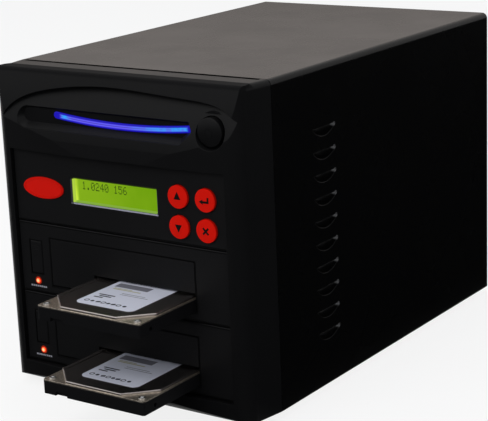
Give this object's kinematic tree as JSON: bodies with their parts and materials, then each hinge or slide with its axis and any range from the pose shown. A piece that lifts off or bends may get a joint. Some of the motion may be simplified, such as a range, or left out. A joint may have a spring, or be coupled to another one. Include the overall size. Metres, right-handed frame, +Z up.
{
  "type": "hard drive duplicator",
  "caption": "Desktop hard drive duplicator: black steel cabinet, moulded front with light bar, display and keys, and trayless drive racks holding bare drives.",
  "frame": {"origin": "on the surface that the feet stand on, under the middle of the machine's whole footprint, the drives sticking out included", "axes": "+X to the right seen from the front, +Y to the back, +Z up"},
  "size_m": [0.175, 0.3298, 0.189],
  "materials": {
    "rubber": "matt black rubber",
    "black_steel": "black satin paint on sheet steel",
    "zinc_steel": "zinc-plated sheet steel",
    "bezel_plastic": "fine-textured black plastic",
    "face_plastic": "black plastic, slightly smoother",
    "light_bar": "clear acrylic lit blue",
    "circuit_board": "green solder mask",
    "dark_plastic": "black plastic",
    "badge_red": "bright red plastic",
    "display_lining": "pale grey plastic",
    "display_green": "backlit yellow-green display",
    "pin_steel": "bright steel",
    "lamp_amber": "amber lens, lit",
    "drive_black": "black coated casting",
    "drive_steel": "satin stainless sheet",
    "label_white": "white sticker"
  },
  "bodies": {
    "cabinet": {"rubber_feet": "rubber", "base_pan": "black_steel", "top_cover": "black_steel", "front_plate": "zinc_steel", "drive_cage": "zinc_steel", "bezel": "bezel_plastic", "light_pipe": "light_bar", "light_board": "circuit_board", "power_switch": "dark_plastic", "control_panel": "face_plastic", "badge": "badge_red", "display_frame": "display_lining", "display_glass": "display_green", "display_board": "circuit_board", "controller_board": "circuit_board", "rear_panel": "black_steel", "psu_case": "zinc_steel", "power_inlet": "dark_plastic", "rocker_housing": "dark_plastic", "rear_fan_frame": "dark_plastic", "psu_fan_frame": "dark_plastic", "rear_screws": "zinc_steel", "cage_screws": "zinc_steel", "lower_rack_face": "face_plastic", "lower_hinge_pin": "pin_steel", "lower_rack_shell": "zinc_steel", "lower_lamp_lens": "lamp_amber", "lower_socket_board": "circuit_board", "upper_rack_face": "face_plastic", "upper_hinge_pin": "pin_steel", "upper_rack_shell": "zinc_steel", "upper_lamp_lens": "lamp_amber", "upper_socket_board": "circuit_board"},
    "power_button": {"power_button": "bezel_plastic"},
    "up_key": {"up_key": "badge_red"},
    "down_key": {"down_key": "badge_red"},
    "enter_key": {"enter_key": "badge_red"},
    "escape_key": {"escape_key": "badge_red"},
    "lower_door": {"lower_rack_door": "face_plastic", "lower_door_spring": "pin_steel"},
    "lower_eject": {"lower_eject_button": "face_plastic"},
    "lower_lever": {"lower_eject_lever": "dark_plastic"},
    "lower_drive": {"lower_drive_body": "drive_black", "lower_drive_cover": "drive_steel", "lower_drive_label": "label_white", "lower_drive_screws": "pin_steel", "lower_drive_board": "circuit_board"},
    "upper_door": {"upper_rack_door": "face_plastic", "upper_door_spring": "pin_steel"},
    "upper_eject": {"upper_eject_button": "face_plastic"},
    "upper_lever": {"upper_eject_lever": "dark_plastic"},
    "upper_drive": {"upper_drive_body": "drive_black", "upper_drive_cover": "drive_steel", "upper_drive_label": "label_white", "upper_drive_screws": "pin_steel", "upper_drive_board": "circuit_board"},
    "rear_fan": {"rear_fan_rotor": "dark_plastic"},
    "psu_fan": {"psu_fan_rotor": "dark_plastic"},
    "power_rocker": {"power_rocker": "dark_plastic"}
  },
  "joints": [
    {"name": "power_button_press", "type": "slide", "parent": "cabinet", "child": "power_button", "axis": [0, 1, 0], "range_m": [0, 0.0025], "stiffness_N_per_m": 300},
    {"name": "up_key_press", "type": "slide", "parent": "cabinet", "child": "up_key", "axis": [0, 1, 0], "range_m": [0, 0.0008], "stiffness_N_per_m": 400},
    {"name": "down_key_press", "type": "slide", "parent": "cabinet", "child": "down_key", "axis": [0, 1, 0], "range_m": [0, 0.0008], "stiffness_N_per_m": 400},
    {"name": "enter_key_press", "type": "slide", "parent": "cabinet", "child": "enter_key", "axis": [0, 1, 0], "range_m": [0, 0.0008], "stiffness_N_per_m": 400},
    {"name": "escape_key_press", "type": "slide", "parent": "cabinet", "child": "escape_key", "axis": [0, 1, 0], "range_m": [0, 0.0008], "stiffness_N_per_m": 400},
    {"name": "lower_door_hinge", "type": "hinge", "parent": "cabinet", "child": "lower_door", "pos_m": [0, -0.11045, 0.0531], "axis": [1, 0, 0], "range_deg": [0, 90], "stiffness_Nm_per_rad": 0.01},
    {"name": "lower_eject_press", "type": "slide", "parent": "cabinet", "child": "lower_eject", "axis": [0, 1, 0], "range_m": [0, 0.004], "stiffness_N_per_m": 300},
    {"name": "lower_lever_swing", "type": "hinge", "parent": "cabinet", "child": "lower_lever", "pos_m": [-0.0565, -0.0201, 0.0235], "axis": [0, 0, -1], "range_deg": [0, 44]},
    {"name": "lower_drive_slide", "type": "slide", "parent": "cabinet", "child": "lower_drive", "axis": [0, -1, 0], "range_m": [-0.0435, 0.052]},
    {"name": "upper_door_hinge", "type": "hinge", "parent": "cabinet", "child": "upper_door", "pos_m": [0, -0.11045, 0.0956], "axis": [1, 0, 0], "range_deg": [0, 90], "stiffness_Nm_per_rad": 0.01},
    {"name": "upper_eject_press", "type": "slide", "parent": "cabinet", "child": "upper_eject", "axis": [0, 1, 0], "range_m": [0, 0.004], "stiffness_N_per_m": 300},
    {"name": "upper_lever_swing", "type": "hinge", "parent": "cabinet", "child": "upper_lever", "pos_m": [-0.0565, -0.0201, 0.066], "axis": [0, 0, -1], "range_deg": [0, 44]},
    {"name": "upper_drive_slide", "type": "slide", "parent": "cabinet", "child": "upper_drive", "axis": [0, -1, 0], "range_m": [-0.0435, 0.052]},
    {"name": "rear_fan_spin", "type": "hinge", "parent": "cabinet", "child": "rear_fan", "pos_m": [0, 0.14845, 0.055], "axis": [0, 1, 0], "continuous": true},
    {"name": "psu_fan_spin", "type": "hinge", "parent": "cabinet", "child": "psu_fan", "pos_m": [-0.024, 0.14745, 0.1438], "axis": [0, 1, 0], "continuous": true},
    {"name": "power_rocker_tilt", "type": "hinge", "parent": "cabinet", "child": "power_rocker", "pos_m": [0.052, 0.15945, 0.1588], "axis": [1, 0, 0], "range_deg": [0, 20]}
  ],
  "couplings": [
    {"joint": "lower_lever_swing", "follows": "lower_eject_press", "rad_per_m": 191.98},
    {"joint": "upper_lever_swing", "follows": "upper_eject_press", "rad_per_m": 191.98}
  ]
}
